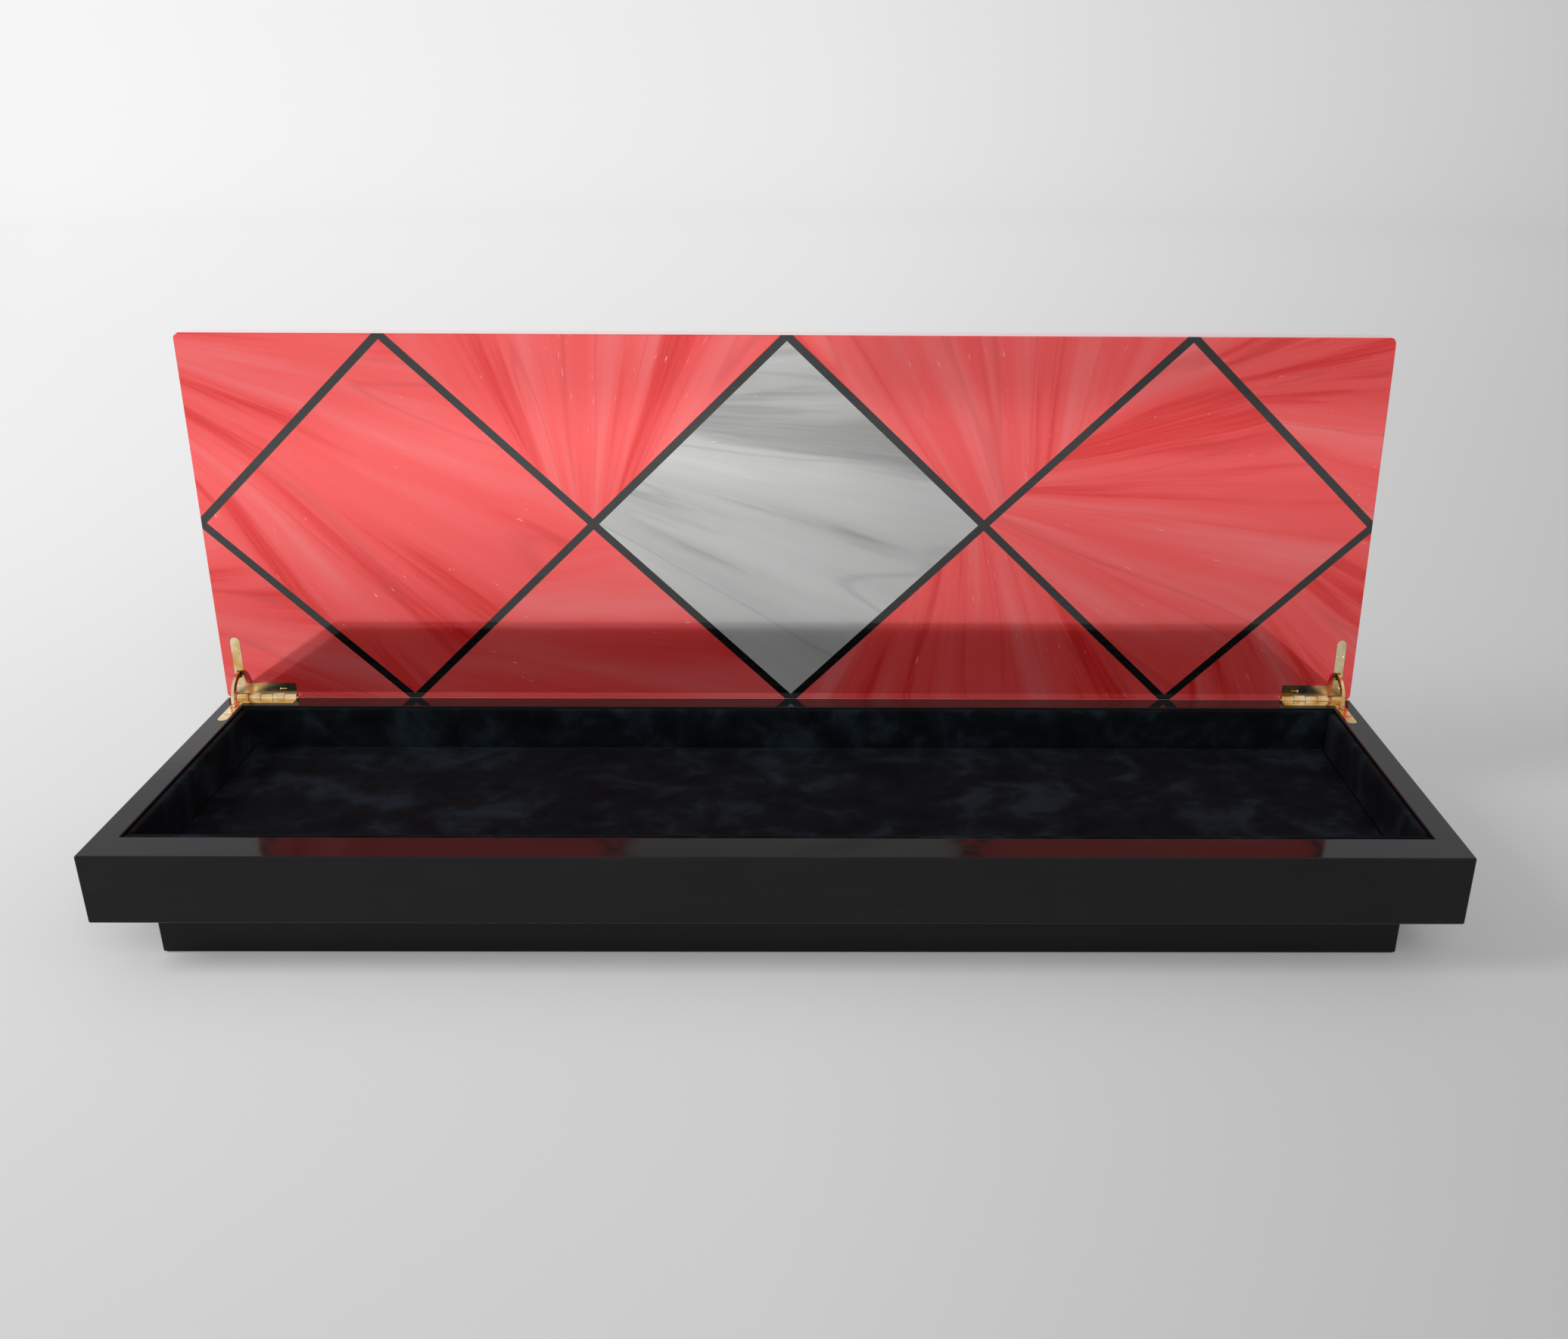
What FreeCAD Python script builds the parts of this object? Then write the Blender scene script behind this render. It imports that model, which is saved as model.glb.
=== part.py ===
import FreeCAD
import Part
import math
import os

# Hinged presentation box: a low lacquered tray on a recessed plinth, with a veneered lid
# that opens just past upright on two quadrant hinges. Sizes are in millimetres.
# +X runs along the box, +Y towards the hinges, +Z up; the origin is the middle of the underside.

# Case walls and base board
case_length = 600.0
case_depth = 187.0
case_wall_height = 32.5
front_rail_thickness = 19.0
back_rail_thickness = 12.0
side_rail_thickness = 12.0
case_corner_radius = 1.0
case_arris_radius = 0.8
rim_arris_radius = 0.6
base_board_thickness = 6.0
base_rebate = 7.0
tongue_thickness = 4.0
tongue_length = 8.0
joint_fit = 0.1

# Plinth under the case
plinth_height = 26.5
plinth_inset = 20.0
plinth_rail_thickness = 12.0
plinth_corner_radius = 1.0
cover_thickness = 3.0
cover_rebate = 5.0
felt_thickness = 1.0
felt_margin = 1.0
corner_block_leg = 22.0
plinth_screw_radius = 1.75
plinth_screw_head_radius = 3.4
plinth_screw_bite = 4.5

# Suede lining of the tray
floor_board_thickness = 3.0
floor_pad_thickness = 3.5
floor_pad_round = 1.5
liner_thickness = 5.0
liner_round = 1.8
liner_drop = 0.5
lining_clearance = 0.3

# Lid
lid_thickness = 18.0
lid_gap = 0.06
lid_corner_radius = 3.0
lid_arris_radius = 0.6
lipping_width = 4.0
veneer_thickness = 0.8
open_angle = 93.0

# Veneer pattern: a row of lozenges inside the lid, matched leaves outside it
lozenge_count = 3
string_width = 4.0
outer_leaf_count = 4

# Quadrant hinges
leaf_thickness = 1.8
side_leg_width = 5.0
side_leg_length = 33.0
side_leg_margin = 1.5
back_leg_width = 8.0
back_leg_length = 31.5
knuckle_count = 5
knuckle_radius = 2.2
knuckle_gap = 0.3
pin_radius = 1.1
pin_clearance = 0.05
running_clearance = 0.35
mortise_fit = 0.1

# Curved stay arm of each hinge
arm_width = 2.8
arm_thickness = 1.5
arm_head_lip = 1.4
arm_head_length = 1.4
arm_clearance = 0.35
arm_cover = 0.9
stop_clearance = 0.2
slot_room = 0.8

# Hinge screws
leaf_screw_radius = 0.8
leaf_screw_head_radius = 1.8
pilot_wall = 0.8
screw_fit = 0.05
screw_slot_width = 0.5

# Working values: tapered share of a screw, how far cuts run past a face, equal heights, half a turn
tip_share = 0.2
past = 1.0
same_level = 0.001
half_turn = 180.0

Vector = FreeCAD.Vector

# Levels and outlines worked out from the sizes above
half_length = case_length / 2
half_depth = case_depth / 2
case_bottom = plinth_height
base_top = case_bottom + base_board_thickness
rim_top = case_bottom + case_wall_height
inner_half_length = half_length - side_rail_thickness
inner_front = -half_depth + front_rail_thickness
inner_back = half_depth - back_rail_thickness
floor_board_top = base_top + floor_board_thickness
lid_bottom = rim_top + lid_gap
lid_top = lid_bottom + lid_thickness

# Hinge line, along X in the plane of the back face and midway in the gap under the lid
axis_y = half_depth
axis_z = rim_top + lid_gap / 2
barrel_start = -inner_half_length - side_leg_margin - side_leg_width
barrel_end = barrel_start + back_leg_length
knuckle_pitch = back_leg_length / knuckle_count
leg_middle = barrel_start + side_leg_width / 2
relief_radius = knuckle_radius + running_clearance

# The arm's outer reach leaves a cover of wood under the lid's outer veneer when the lid is shut
arm_head_outer = lid_thickness + lid_gap / 2 - veneer_thickness - arm_cover - arm_clearance
arm_outer = arm_head_outer - arm_head_lip
arm_inner = arm_outer - arm_width
slot_outer = arm_outer + arm_clearance
slot_inner = arm_inner - slot_room
slot_half_width = arm_thickness / 2 + arm_clearance
pocket_inner = arm_inner - arm_clearance
pocket_outer = arm_head_outer + arm_clearance

# Angles of the arm, in degrees about the hinge line
leaf_back = lid_gap / 2 + leaf_thickness
head_angle = math.degrees(math.asin((leaf_back + stop_clearance) / slot_outer))
end_angle = head_angle + math.degrees(arm_head_length / arm_inner)
pocket_angle = open_angle / 2 + end_angle + math.degrees(arm_clearance / arm_inner)

# Hinge screws stand between the barrel and the slot, at the far ends of both legs
corner_screw_reach = (knuckle_radius + slot_inner) / 2
side_screw_reach = (slot_outer + side_leg_length) / 2
back_screw_reach = (knuckle_radius + back_leg_width) / 2
back_screw_offset = back_leg_length - side_leg_width - leaf_screw_head_radius
screw_circle = pocket_inner - pilot_wall
screw_side = corner_screw_reach + leaf_screw_radius
leaf_screw_length = math.sqrt(screw_circle ** 2 - screw_side ** 2) - lid_gap / 2


def block(x0, x1, y0, y1, z0, z1):
    return Part.makeBox(x1 - x0, y1 - y0, z1 - z0, Vector(x0, y0, z0))


def prism(points, z0, z1):
    corners = [Vector(x, y, z0) for x, y in points]
    outline = Part.makePolygon(corners + corners[:1])
    return Part.Face(outline).extrude(Vector(0, 0, z1 - z0))


def rod(radius, x0, x1):
    # A round bar along the hinge line
    return Part.makeCylinder(radius, x1 - x0, Vector(x0, axis_y, axis_z), Vector(1, 0, 0))


def joined(shapes):
    return shapes[0].fuse(shapes[1:]).removeSplitter()


def mirrored(shape):
    return shape.mirror(Vector(0, 0, 0), Vector(1, 0, 0))


def both_sides(shape):
    return [shape, mirrored(shape)]


def is_level(edge, z):
    bounds = edge.BoundBox
    return abs(bounds.ZMin - z) < same_level and abs(bounds.ZMax - z) < same_level


def is_upright(edge):
    bounds = edge.BoundBox
    return bounds.XLength < same_level and bounds.YLength < same_level


def rounded_slab(length, depth, z0, z1, corner):
    slab = block(-length / 2, length / 2, -depth / 2, depth / 2, z0, z1)
    return slab.makeFillet(corner, [edge for edge in slab.Edges if is_upright(edge)])


def eased(solid, levels, radius):
    # Rounds every edge of a slab that lies flat at the given levels
    edges = [edge for edge in solid.Edges if any(is_level(edge, z) for z in levels)]
    return solid.makeFillet(radius, edges)


def square_backed_slab(length, depth, z0, z1, corner, arris):
    # A slab with rounded corners and eased edges, left square along the back where the hinges are
    spare = 2 * corner
    slab = eased(rounded_slab(length, depth + spare, z0, z1, corner), [z0, z1], arris)
    slab.translate(Vector(0, spare / 2, 0))
    outline = rounded_slab(length, 2 * depth, z0 - past, z1 + past, corner)
    outline.translate(Vector(0, -depth / 2, 0))
    return slab.common(outline)


def sector(r0, r1, from_angle, to_angle, x0, x1):
    # A ring segment about the hinge line; 0 degrees points to the front, 90 degrees up
    def at(radius, degrees):
        turn = math.radians(degrees)
        return Vector(x0, axis_y - radius * math.cos(turn), axis_z + radius * math.sin(turn))

    middle = (from_angle + to_angle) / 2
    edges = [
        Part.Arc(at(r1, from_angle), at(r1, middle), at(r1, to_angle)).toShape(),
        Part.LineSegment(at(r1, to_angle), at(r0, to_angle)).toShape(),
        Part.Arc(at(r0, to_angle), at(r0, middle), at(r0, from_angle)).toShape(),
        Part.LineSegment(at(r0, from_angle), at(r1, from_angle)).toShape(),
    ]
    return Part.Face(Part.Wire(edges)).extrude(Vector(x1 - x0, 0, 0))


def opened(shape):
    # Turns a piece of the shut lid to the open position
    turned = shape.copy()
    turned.rotate(Vector(0, axis_y, axis_z), Vector(1, 0, 0), -open_angle)
    return turned


def save(node, solids):
    shape = solids[0] if len(solids) == 1 else Part.makeCompound(solids)
    shape.exportStep("parts/" + node + ".step")


# Screws

def screw(head_radius, radius, length):
    # Slotted countersunk wood screw, head uppermost at the origin
    head_height = head_radius - radius
    tip = length * tip_share
    head = Part.makeCone(radius, head_radius, head_height, Vector(0, 0, -head_height))
    shank = Part.makeCylinder(radius, length - head_height - tip, Vector(0, 0, tip - length))
    point = Part.makeCone(radius / 2, radius, tip, Vector(0, 0, -length))
    slot_edge = screw_slot_width / 2
    slot = block(-head_radius, head_radius, -slot_edge, slot_edge, -head_height / 2, past)
    return joined([head, shank, point]).cut(slot)


def screw_hole(head_radius, radius, length):
    head_height = head_radius - radius
    sink = Part.makeCone(
        radius + screw_fit, head_radius + screw_fit, head_height, Vector(0, 0, -head_height)
    )
    mouth = Part.makeCylinder(head_radius + screw_fit, past)
    depth = length + screw_fit
    return joined([sink, mouth, Part.makeCylinder(radius + screw_fit, depth, Vector(0, 0, -depth))])


def placed(pattern, spots, z, upwards):
    # Copies of a screw or its hole, driven down from a level or turned to go up from it
    made = []
    for x, y in spots:
        one = pattern.copy()
        if upwards:
            one.rotate(Vector(0, 0, 0), Vector(1, 0, 0), half_turn)
        one.translate(Vector(x, y, z))
        made.append(one)
    return made


leaf_screw_sizes = (leaf_screw_head_radius, leaf_screw_radius, leaf_screw_length)
leaf_screw_spots = [
    (leg_middle, axis_y - corner_screw_reach),
    (leg_middle, axis_y - side_screw_reach),
    (barrel_start + back_screw_offset, axis_y - back_screw_reach),
]


# Hinges: every shape is made for the left side with the lid shut

def leaf_levels(of_lid):
    if of_lid:
        return lid_bottom, lid_bottom + leaf_thickness
    return rim_top - leaf_thickness, rim_top


def leaf_plate(fit, z0, z1, back):
    left = barrel_start - fit
    leg_right = barrel_start + side_leg_width + fit
    round_radius = side_leg_width / 2
    round_y = axis_y - side_leg_length + round_radius
    side_leg = block(left, leg_right, round_y, back, z0, z1)
    leg_end = Part.makeCylinder(round_radius + fit, z1 - z0, Vector(leg_middle, round_y, z0))
    back_leg = block(left, barrel_end + fit, axis_y - back_leg_width - fit, back, z0, z1)
    return joined([side_leg, leg_end, back_leg])


def knuckle_spans(of_lid):
    first = 1 if of_lid else 0
    spans = []
    for index in range(first, knuckle_count, 2):
        start = barrel_start + index * knuckle_pitch
        end = start + knuckle_pitch
        start_gap = knuckle_gap / 2 if index > 0 else 0.0
        end_gap = knuckle_gap / 2 if index < knuckle_count - 1 else 0.0
        spans.append((start + start_gap, end - end_gap))
    return spans


def hinge_leaf(of_lid):
    z0, z1 = leaf_levels(of_lid)
    plate = leaf_plate(0.0, z0, z1, axis_y)
    pieces = [plate.cut(rod(relief_radius, barrel_start - past, barrel_end + past))]
    for start, end in knuckle_spans(of_lid):
        web = block(start, end, axis_y - back_leg_width, axis_y, z0, z1)
        pieces += [web, rod(knuckle_radius, start, end)]
    slot = block(
        leg_middle - slot_half_width, leg_middle + slot_half_width,
        axis_y - slot_outer, axis_y - slot_inner, z0 - past, z1 + past,
    )
    holes = placed(
        screw_hole(*leaf_screw_sizes), leaf_screw_spots, z0 if of_lid else z1, of_lid
    )
    bore = rod(pin_radius + pin_clearance, barrel_start - past, barrel_end + past)
    return joined(pieces).cut([bore, slot] + holes)


def leaf_screws(of_lid):
    level = lid_bottom if of_lid else rim_top
    return placed(screw(*leaf_screw_sizes), leaf_screw_spots, level, of_lid)


def hinge_cuts(of_lid):
    # What a hinge takes out of the wood: seat for the leaf, groove for the barrel,
    # curved pocket for the arm and pilot holes
    z0, z1 = leaf_levels(of_lid)
    seat_low = z0 - past if of_lid else z0
    seat_high = z1 if of_lid else z1 + past
    seat = leaf_plate(mortise_fit, seat_low, seat_high, axis_y + past)
    groove = rod(relief_radius, barrel_start - running_clearance, barrel_end + running_clearance)
    pocket = sector(
        pocket_inner, pocket_outer,
        -head_angle if of_lid else -pocket_angle, pocket_angle if of_lid else head_angle,
        leg_middle - slot_half_width, leg_middle + slot_half_width,
    )
    level = lid_bottom if of_lid else rim_top
    pilots = placed(screw_hole(*leaf_screw_sizes), leaf_screw_spots, level, of_lid)
    one_side = [seat, groove, pocket] + pilots
    return one_side + [mirrored(cut) for cut in one_side]


def stay_arm():
    # Curved arm that slides through both leaves, with a stop head at each end; drawn open
    near = leg_middle - arm_thickness / 2
    far = leg_middle + arm_thickness / 2
    low = -end_angle
    high = open_angle + end_angle
    blade = sector(arm_inner, arm_outer, low, high, near, far)
    low_head = sector(arm_inner, arm_head_outer, low, -head_angle, near, far)
    high_head = sector(arm_inner, arm_head_outer, open_angle + head_angle, high, near, far)
    return joined([blade, low_head, high_head])


# Case

def case_ring():
    ring = square_backed_slab(
        case_length, case_depth, case_bottom, rim_top, case_corner_radius, case_arris_radius,
    )
    hollow = block(
        -inner_half_length, inner_half_length, inner_front, inner_back,
        case_bottom - past, rim_top + past,
    )
    ring = ring.cut(hollow)
    inner_edges = [
        edge for edge in ring.Edges
        if is_level(edge, rim_top)
        and abs(edge.CenterOfMass.x) < inner_half_length + same_level
        and inner_front - same_level < edge.CenterOfMass.y < inner_back + same_level
    ]
    ring = ring.makeFillet(rim_arris_radius, inner_edges)
    return ring.cut([base_board_space()] + hinge_cuts(of_lid=False))


def base_board_space():
    return block(
        -inner_half_length - base_rebate, inner_half_length + base_rebate,
        inner_front - base_rebate, inner_back + base_rebate, case_bottom, base_top,
    )


def tongues(fit):
    # Loose-fitting ends of the side rails that sit in grooves of the front and back rails,
    # between the base board and the floor of the arm's pocket
    pocket_floor = axis_z - pocket_outer
    quarter = (pocket_floor - base_top) / 4
    middle = -half_length + side_rail_thickness / 2
    reach = tongue_thickness / 2 + fit
    low = base_top + quarter - fit
    high = pocket_floor - quarter + fit
    length = tongue_length + fit
    return [
        block(middle - reach, middle + reach, inner_front - length, inner_front, low, high),
        block(middle - reach, middle + reach, inner_back, inner_back + length, low, high),
    ]


def build_case():
    ring = case_ring()
    low = case_bottom - past
    high = rim_top + past
    side = half_length + past
    grooves = tongues(joint_fit) + [mirrored(cut) for cut in tongues(joint_fit)]
    front = ring.common(block(-side, side, -half_depth - past, inner_front, low, high))
    back = ring.common(block(-side, side, inner_back, axis_y + past, low, high))
    save("front_rail", front.cut(grooves).Solids)
    save("back_rail", back.cut(grooves).Solids)
    left = ring.common(block(-side, 0.0, inner_front, inner_back, low, high))
    right = ring.common(block(0.0, side, inner_front, inner_back, low, high))
    save("left_rail", joined([left] + tongues(0.0)).Solids)
    save("right_rail", joined([right] + [mirrored(one) for one in tongues(0.0)]).Solids)


# Plinth

plinth_half_length = half_length - plinth_inset
plinth_half_depth = half_depth - plinth_inset
cover_top = felt_thickness + cover_thickness


def mitre_sectors():
    # Plan outlines that part the plinth at its four mitres
    a = plinth_half_length
    b = plinth_half_depth
    out = past
    into = plinth_rail_thickness + past
    front = [(-a - out, -b - out), (a + out, -b - out), (a - into, -b + into), (-a + into, -b + into)]
    left = [(-a - out, -b - out), (-a + into, -b + into), (-a + into, b - into), (-a - out, b + out)]
    return {
        "plinth_front_rail": front,
        "plinth_back_rail": [(x, -y) for x, y in front],
        "plinth_left_rail": left,
        "plinth_right_rail": [(-x, y) for x, y in left],
    }


def cover_space():
    a = plinth_half_length - plinth_rail_thickness + cover_rebate
    b = plinth_half_depth - plinth_rail_thickness + cover_rebate
    return block(-a, a, -b, b, felt_thickness, cover_top)


def build_plinth():
    inside_x = plinth_half_length - plinth_rail_thickness
    inside_y = plinth_half_depth - plinth_rail_thickness
    ring = rounded_slab(
        2 * plinth_half_length, 2 * plinth_half_depth, felt_thickness, plinth_height,
        plinth_corner_radius,
    )
    hollow = block(-inside_x, inside_x, -inside_y, inside_y, 0.0, plinth_height + past)
    ring = ring.cut([hollow, cover_space()])
    for node, outline in mitre_sectors().items():
        save(node, ring.common(prism(outline, 0.0, plinth_height + past)).Solids)
    save("bottom_cover", [cover_space()])

    # Triangular glue blocks in the corners, each with a screw up into the base board
    screw_length = plinth_height - cover_top + plinth_screw_bite
    sizes = (plinth_screw_head_radius, plinth_screw_radius, screw_length)
    # The screw stands at the centre of the block's inscribed circle
    inset = corner_block_leg / (2 + math.sqrt(2))
    blocks = []
    screws = []
    holes = []
    for x_side in (-1, 1):
        for y_side in (-1, 1):
            corner_x = x_side * inside_x
            corner_y = y_side * inside_y
            outline = [
                (corner_x, corner_y),
                (corner_x - x_side * corner_block_leg, corner_y),
                (corner_x, corner_y - y_side * corner_block_leg),
            ]
            spot = [(corner_x - x_side * inset, corner_y - y_side * inset)]
            hole = placed(screw_hole(*sizes), spot, cover_top, True)
            holes += hole
            blocks.append(prism(outline, cover_top, plinth_height).cut(hole))
            screws += placed(screw(*sizes), spot, cover_top, True)
    save("plinth_corner_blocks", blocks)
    save("plinth_screws", screws)
    save("base_board", [base_board_space().cut(holes)])

    felt_x = plinth_half_length - felt_margin
    felt_y = plinth_half_depth - felt_margin
    save("base_felt", [block(-felt_x, felt_x, -felt_y, felt_y, 0.0, felt_thickness)])


# Lining of the tray

def build_lining():
    gap = lining_clearance
    x_out = inner_half_length - gap
    y_front = inner_front + gap
    y_back = inner_back - gap
    x_in = x_out - liner_thickness
    front_face = y_front + liner_thickness
    back_face = y_back - liner_thickness
    low = floor_board_top
    high = rim_top - liner_drop
    board = block(-x_out, x_out, y_front, y_back, base_top, floor_board_top)
    save("floor_board", [board])
    liners = {
        "front_liner": (-x_out, x_out, y_front, front_face),
        "back_liner": (-x_out, x_out, back_face, y_back),
        "left_liner": (-x_out, -x_in, front_face + gap, back_face - gap),
        "right_liner": (x_in, x_out, front_face + gap, back_face - gap),
    }
    for node, plan in liners.items():
        save(node, [eased(block(*plan, low, high), [high], liner_round)])
    pad = block(
        -x_in + gap, x_in - gap, front_face + gap, back_face - gap,
        low, low + floor_pad_thickness,
    )
    save("floor_pad", [eased(pad, [low + floor_pad_thickness], floor_pad_round)])


# Lid, drawn shut and then opened

def string_lines():
    # Straight inlaid lines that part the inner face into lozenges and triangles
    pitch = case_length / lozenge_count
    lines = []
    for index in range(-1, lozenge_count):
        left = -half_length + (index + 0.5) * pitch
        lines.append(((left, half_depth), (left + pitch, -half_depth)))
        lines.append(((left, -half_depth), (left + pitch, half_depth)))
    return lines


def string_strips(z0, z1):
    strips = []
    for (x0, y0), (x1, y1) in string_lines():
        length = math.hypot(x1 - x0, y1 - y0)
        side_x = -(y1 - y0) / length * string_width / 2
        side_y = (x1 - x0) / length * string_width / 2
        on_x = (x1 - x0) / length * string_width
        on_y = (y1 - y0) / length * string_width
        strips.append(prism([
            (x0 - on_x + side_x, y0 - on_y + side_y), (x0 - on_x - side_x, y0 - on_y - side_y),
            (x1 + on_x - side_x, y1 + on_y - side_y), (x1 + on_x + side_x, y1 + on_y + side_y),
        ], z0, z1))
    return strips


def panel_name(panel, counts):
    # Lozenges lie across the middle line, the other panels above or below it when open
    height = panel.CenterOfMass.y
    if abs(height) < string_width:
        kind = "lozenge_panel"
    else:
        kind = "upper_panel" if height < 0 else "lower_panel"
    counts[kind] = counts.get(kind, 0) + 1
    return kind + "_" + str(counts[kind])


def build_lid():
    slab = square_backed_slab(
        case_length, case_depth, lid_bottom, lid_top, lid_corner_radius, lid_arris_radius,
    )
    slab = slab.cut(hinge_cuts(of_lid=True))
    side = half_length + past
    deep = half_depth + past
    inner_top = lid_bottom + veneer_thickness
    outer_bottom = lid_top - veneer_thickness

    # Inner face: panels of veneer parted by stringing
    skin = slab.common(block(-side, side, -deep, deep, lid_bottom - past, inner_top))
    strips = joined(string_strips(lid_bottom - past, inner_top))
    save("stringing", [opened(solid) for solid in skin.common(strips).Solids])
    counts = {}
    for panel in sorted(skin.cut(strips).Solids, key=lambda solid: solid.CenterOfMass.x):
        save(panel_name(panel, counts), [opened(panel)])

    # Core board with a lipping on each edge
    middle = slab.common(block(-side, side, -deep, deep, inner_top, outer_bottom))
    core_x = half_length - lipping_width
    core_y = half_depth - lipping_width
    core = block(-core_x, core_x, -core_y, core_y, inner_top, outer_bottom)
    save("lid_core", [opened(solid) for solid in middle.common(core).Solids])
    lippings = {
        "lid_front_lipping": (-side, side, -deep, -core_y),
        "lid_back_lipping": (-side, side, core_y, deep),
        "lid_left_lipping": (-side, -core_x, -core_y, core_y),
        "lid_right_lipping": (core_x, side, -core_y, core_y),
    }
    for node, plan in lippings.items():
        strip = middle.common(block(*plan, inner_top, outer_bottom))
        save(node, [opened(solid) for solid in strip.Solids])

    # Outer face: matched leaves side by side
    leaf_width = case_length / outer_leaf_count
    leaves = []
    for index in range(outer_leaf_count):
        start = -half_length + index * leaf_width
        plan = block(start, start + leaf_width, -deep, deep, outer_bottom, lid_top + past)
        leaves += [opened(solid) for solid in slab.common(plan).Solids]
    save("outer_veneer", leaves)


def build_hinges():
    case_leaves = both_sides(hinge_leaf(of_lid=False))
    lid_leaves = [opened(leaf) for leaf in both_sides(hinge_leaf(of_lid=True))]
    pins = both_sides(rod(pin_radius, barrel_start, barrel_end))
    arms = both_sides(stay_arm())
    for index, name in enumerate(("left", "right")):
        save(name + "_case_leaf", [case_leaves[index]])
        save(name + "_lid_leaf", [lid_leaves[index]])
        save(name + "_hinge_pin", [pins[index]])
        save(name + "_stay_arm", [arms[index]])
    case_screws = leaf_screws(of_lid=False)
    lid_screws = leaf_screws(of_lid=True)
    save("case_leaf_screws", case_screws + [mirrored(one) for one in case_screws])
    save("lid_leaf_screws", [opened(one) for one in lid_screws + [mirrored(s) for s in lid_screws]])


os.makedirs("parts", exist_ok=True)
build_case()
build_plinth()
build_lining()
build_lid()
build_hinges()
print("hinge line y %.3f z %.3f, arm angle %.2f" % (axis_y, axis_z, end_angle))
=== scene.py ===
import math

import bmesh
import bpy
import numpy as np
from mathutils import Matrix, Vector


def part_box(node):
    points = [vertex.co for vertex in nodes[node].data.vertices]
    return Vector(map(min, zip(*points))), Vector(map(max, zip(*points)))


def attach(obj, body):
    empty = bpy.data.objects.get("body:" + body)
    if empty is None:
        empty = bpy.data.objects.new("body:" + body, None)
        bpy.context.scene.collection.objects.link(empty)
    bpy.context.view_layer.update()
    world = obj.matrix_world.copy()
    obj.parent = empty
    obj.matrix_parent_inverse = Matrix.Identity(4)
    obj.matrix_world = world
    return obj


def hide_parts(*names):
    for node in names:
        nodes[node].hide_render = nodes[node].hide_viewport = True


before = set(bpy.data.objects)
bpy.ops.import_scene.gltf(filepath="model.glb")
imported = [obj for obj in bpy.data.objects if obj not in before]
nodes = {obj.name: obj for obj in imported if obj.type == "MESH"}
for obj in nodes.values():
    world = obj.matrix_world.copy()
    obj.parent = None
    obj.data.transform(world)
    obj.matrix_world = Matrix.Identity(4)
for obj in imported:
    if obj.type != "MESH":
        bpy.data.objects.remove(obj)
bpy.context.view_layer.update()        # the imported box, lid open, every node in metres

scene = bpy.context.scene
scene.view_settings.view_transform = "Standard"
print("frame in:", len(nodes), "nodes")


# camera, fitted to the edges of the case, plinth and lid in a 2072 x 1770 picture
photoCamera = {
    "place": (0.0261, -0.6898, 0.3637),   # m
    "pitch": -25.35, "yaw": -0.58, "roll": -0.35,   # degrees from level, looking along +Y
    "focalPixels": 2070, "axisPixel": (1128, 1072), "picture": (2072, 1770),
    "clip": (0.01, 30),     # m
}


def aimCamera(values):
    data = bpy.data.cameras.new("photoCamera")
    wide, tall = values["picture"]
    acrossPixel, downPixel = values["axisPixel"]
    data.lens = data.sensor_width * values["focalPixels"] / wide
    data.shift_x = (wide / 2 - acrossPixel) / wide      # shifts are shares of the picture's width
    data.shift_y = (downPixel - tall / 2) / wide
    data.clip_start, data.clip_end = values["clip"]
    camera = bpy.data.objects.new("photoCamera", data)
    scene.collection.objects.link(camera)
    yaw, pitch, roll = (math.radians(values[turn]) for turn in ("yaw", "pitch", "roll"))
    facing = Matrix.Rotation(math.pi / 2, 4, "X")       # Blender's camera looks down -Z, this one along +Y
    turned = Matrix.Rotation(yaw, 4, "Z") @ Matrix.Rotation(pitch, 4, "X") @ Matrix.Rotation(roll, 4, "Y")
    camera.matrix_world = Matrix.Translation(values["place"]) @ turned @ facing
    scene.camera = camera


aimCamera(photoCamera)
print("camera set")


def linear(hexText):
    # each byte over 255, then the sRGB curve undone
    share = np.array([int(hexText[k:k + 2], 16) for k in (1, 3, 5)]) / 255
    flat = np.where(share <= 0.04045, share / 12.92, ((share + 0.055) / 1.055) ** 2.4)
    return (*flat.tolist(), 1.0)


def perMetre(millimetres):
    # how many repeats a metre holds of a pattern whose real size is given in mm
    return 1000 / millimetres


def addNode(tree, kind, settings, inputs):
    # settings are the node's own, with stops for a ramp's places and hex colours;
    # inputs are values, hex colours or sockets
    node = tree.nodes.new("ShaderNode" + kind)
    for key, value in settings.items():
        if key == "stops":
            ramp = node.color_ramp.elements
            while len(ramp) < len(value[0]):
                ramp.new(0.5)
            for stop, place, colour in zip(ramp, *value):
                stop.position, stop.color = place, linear(colour)
        else:
            setattr(node, key, value)
    for key, value in inputs.items():
        if isinstance(value, bpy.types.NodeSocket):
            tree.links.new(value, node.inputs[key])
        else:
            node.inputs[key].default_value = linear(value) if isinstance(value, str) else value
    return node


def startMaterial(name, shaderValues):
    material = bpy.data.materials.new(name)
    material.use_nodes = True
    tree = material.node_tree
    shader = tree.nodes["Principled BSDF"]
    for key, value in shaderValues.items():
        shader.inputs[key].default_value = linear(value) if isinstance(value, str) else value
    place = addNode(tree, "TexCoord", {}, {}).outputs["Object"]
    return material, tree, shader, place


def dress(material, *names):
    for name in names:
        slots = nodes[name].data.materials
        slots.clear()
        slots.append(material)


# polyester lacquer, sprayed black over the boards and polished: a deep even black that mirrors its
# surroundings, with the slight waviness of the spray and faint rubbing marks along the length
blackLacquerLook = {
    "black": "#0d0d0d", "worn": "#121212", "toneStops": (0.15, 0.45),
    "rubMm": (60, 1.6), "handMm": 45, "marks": (0.12, 0.42), "gloss": (0.06, 0.13),
    "peelMm": 5.0, "peelDepthMm": 0.02, "peelStrength": 0.25,
    "shader": {"IOR": 1.5, "Specular IOR Level": 0.22},
}


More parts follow.
